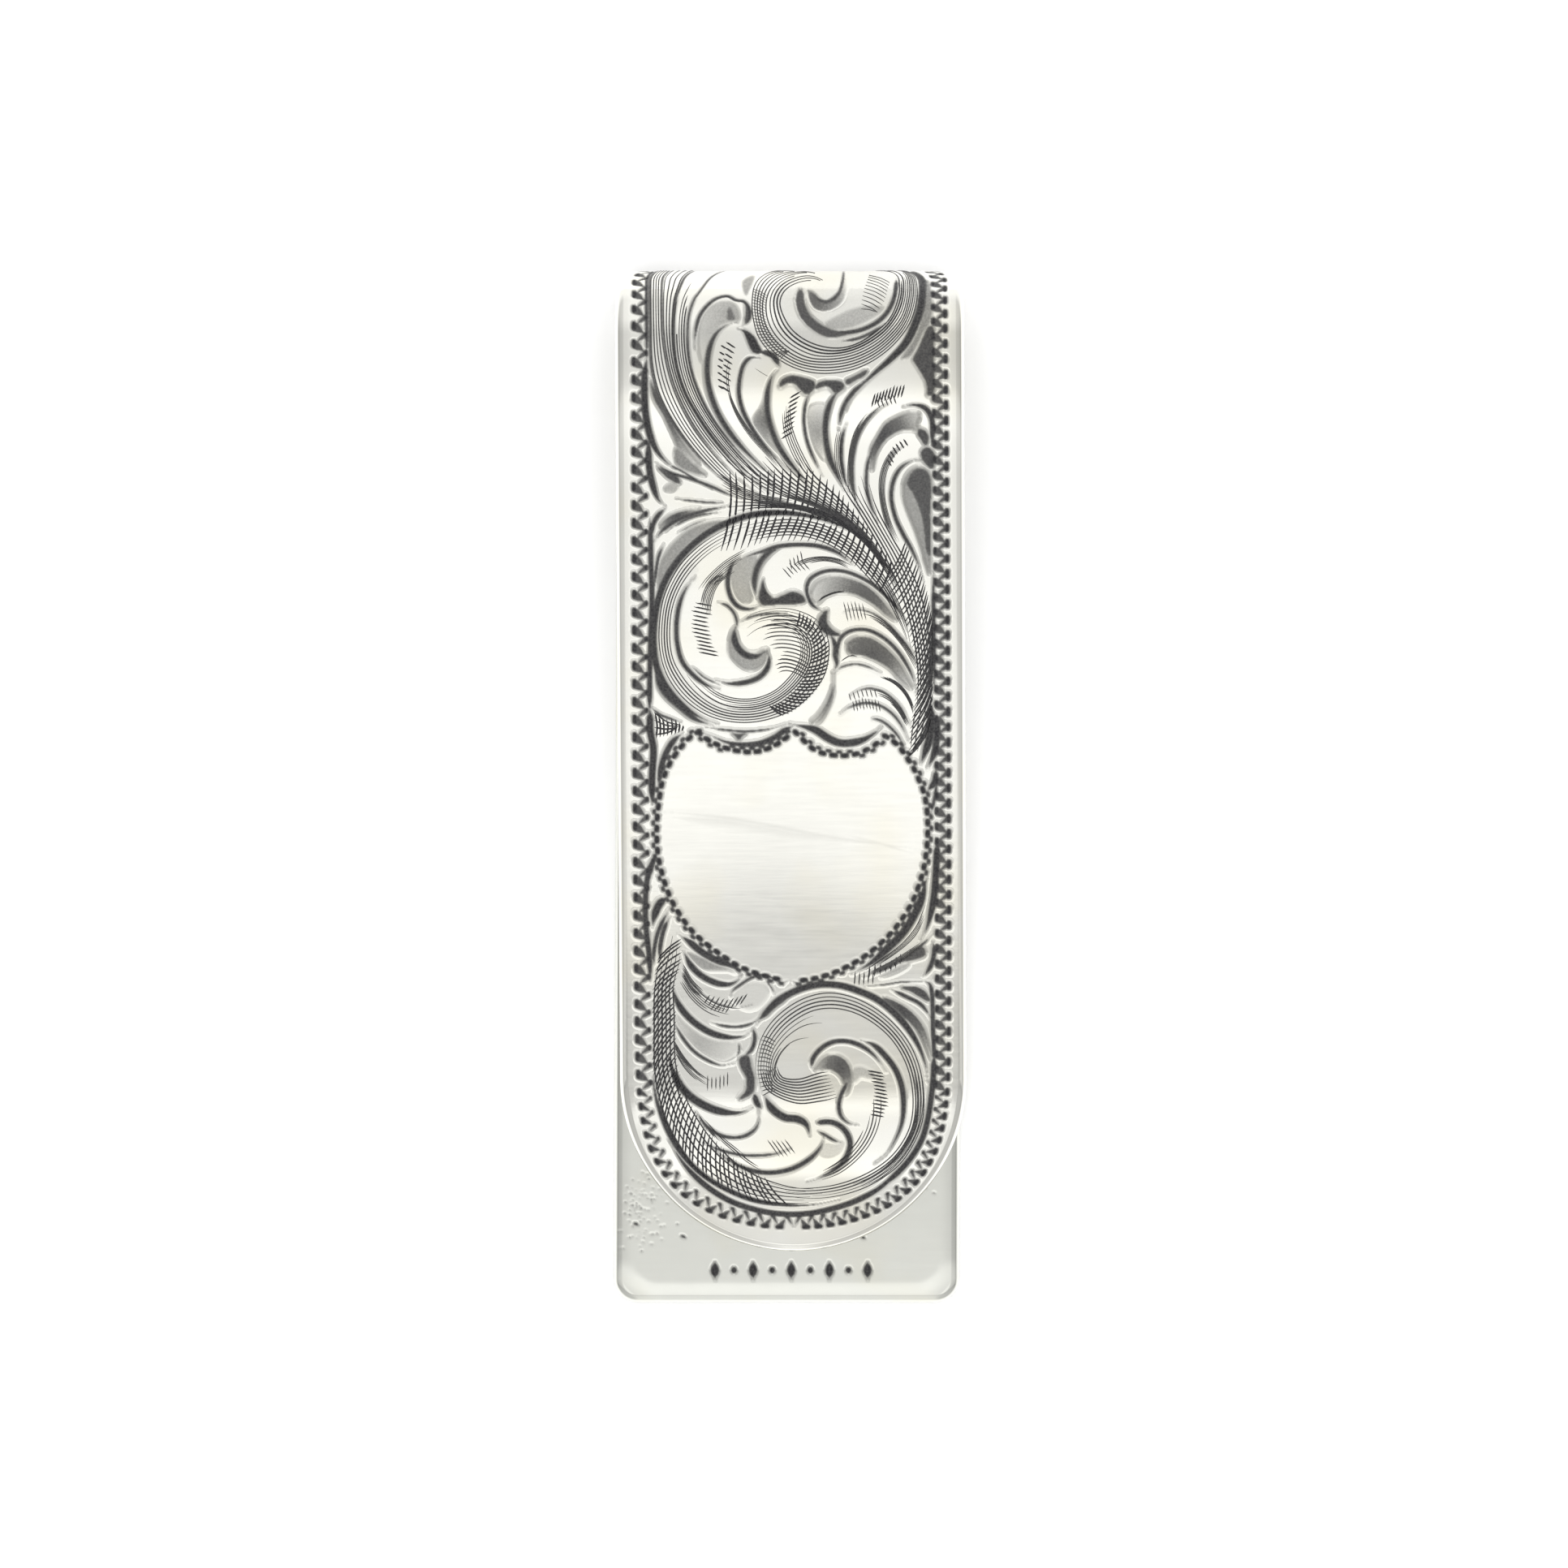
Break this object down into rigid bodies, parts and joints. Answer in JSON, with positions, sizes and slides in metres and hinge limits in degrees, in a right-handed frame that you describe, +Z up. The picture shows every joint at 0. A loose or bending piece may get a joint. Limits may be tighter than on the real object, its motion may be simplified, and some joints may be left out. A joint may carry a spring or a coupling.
{
  "type": "money clip",
  "caption": "Folded silver money clip: flat back leaf, spring fold and a lifting front leaf with a flared round tip, engraved with scrolling leaves round a blank shield.",
  "frame": {"origin": "under the middle of the clip, on the surface that the back leaf rests on", "axes": "+Y runs along the strip towards the fold, +Z up from the back leaf to the front leaf, +X across the strip"},
  "size_m": [0.0194, 0.0566, 0.0072],
  "materials": {
    "polished_silver": "hand-polished sterling silver with fine scratches",
    "engraved_silver": "hand-engraved sterling silver, darkened in the cuts and polished on top"
  },
  "bodies": {
    "base": {"back_leaf": "polished_silver", "fold_spring": "engraved_silver"},
    "spring_leaf": {"front_leaf": "engraved_silver"}
  },
  "joints": [
    {"name": "leaf_flex", "type": "hinge", "parent": "base", "child": "spring_leaf", "pos_m": [0, 0.0247, 0.0036], "axis": [-1, 0, 0], "range_deg": [0, 6], "stiffness_Nm_per_rad": 3, "springref_deg": -1.72, "deforming": ["fold_spring"]}
  ]
}
